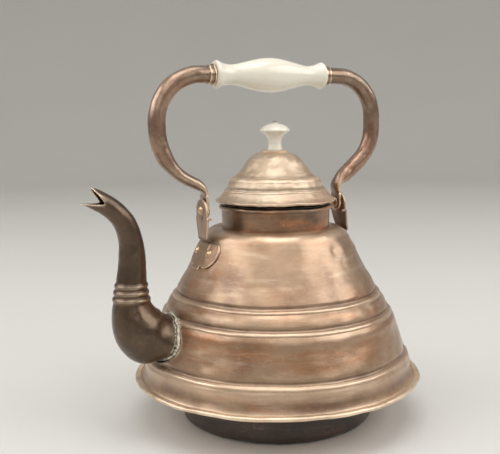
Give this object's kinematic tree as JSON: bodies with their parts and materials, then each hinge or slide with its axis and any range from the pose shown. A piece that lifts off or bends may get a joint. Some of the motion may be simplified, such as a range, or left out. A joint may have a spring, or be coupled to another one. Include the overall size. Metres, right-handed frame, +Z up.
{
  "type": "kettle",
  "caption": "Copper kettle with a stepped cone body, sunken base, ribbed swan-neck spout, lift-off plug lid and swinging overhead handle with a porcelain grip.",
  "frame": {"origin": "centre of the flat underside of the sunken base", "axes": "+Z up, -X towards the spout, the pivots of the handle on a line along X"},
  "size_m": [0.2607, 0.22, 0.2727],
  "materials": {
    "copper_body": "brown patinated copper, worn bright on the edges",
    "copper_lid": "tan patinated copper, worn",
    "copper_spout": "dark brown patinated copper",
    "sooty_base": "copper darkened by soot",
    "copper_ear": "brown patinated copper",
    "copper_tube": "dark patinated copper, rubbed bright",
    "rivet_copper": "worn copper",
    "tinned_sleeve": "dull tin over copper",
    "soft_solder": "dull grey solder",
    "iron_wire": "dark iron",
    "steel_screw": "satin",
    "white_porcelain": "glossy white glaze"
  },
  "bodies": {
    "kettle": {"body_shell": "copper_body", "sunken_base": "sooty_base", "base_flange": "copper_body", "neck_collar": "copper_body", "neck_rim_wire": "iron_wire", "spout": "copper_spout", "spout_solder": "soft_solder", "front_ear": "copper_ear", "rear_ear": "copper_ear", "front_ear_rivets": "rivet_copper", "rear_ear_rivets": "rivet_copper", "front_pivot_rivet": "rivet_copper", "rear_pivot_rivet": "rivet_copper", "front_pivot_washer": "rivet_copper", "rear_pivot_washer": "rivet_copper"},
    "handle": {"front_handle_arm": "copper_tube", "rear_handle_arm": "copper_tube", "front_ferrule": "copper_tube", "rear_ferrule": "copper_tube", "front_tube_plug": "iron_wire", "rear_tube_plug": "iron_wire", "grip_rod": "iron_wire"},
    "grip": {"handle_grip": "white_porcelain"},
    "lid": {"lid_dome": "copper_lid", "lid_sleeve": "tinned_sleeve", "lid_rosette": "copper_lid", "lid_knob": "white_porcelain", "lid_screw": "steel_screw", "lid_washer": "steel_screw", "lid_nut": "steel_screw"}
  },
  "joints": [
    {"name": "handle_swing", "type": "hinge", "parent": "kettle", "child": "handle", "pos_m": [0, 0, 0.1616], "axis": [1, 0, 0], "range_deg": [-76, 76]},
    {"name": "grip_turn", "type": "hinge", "parent": "handle", "child": "grip", "pos_m": [-0.0038, 0, 0.2599], "axis": [1, 0, 0], "continuous": true},
    {"name": "lid_lift", "type": "slide", "parent": "kettle", "child": "lid", "axis": [0, 0, 1], "range_m": [0, 0.018]}
  ]
}
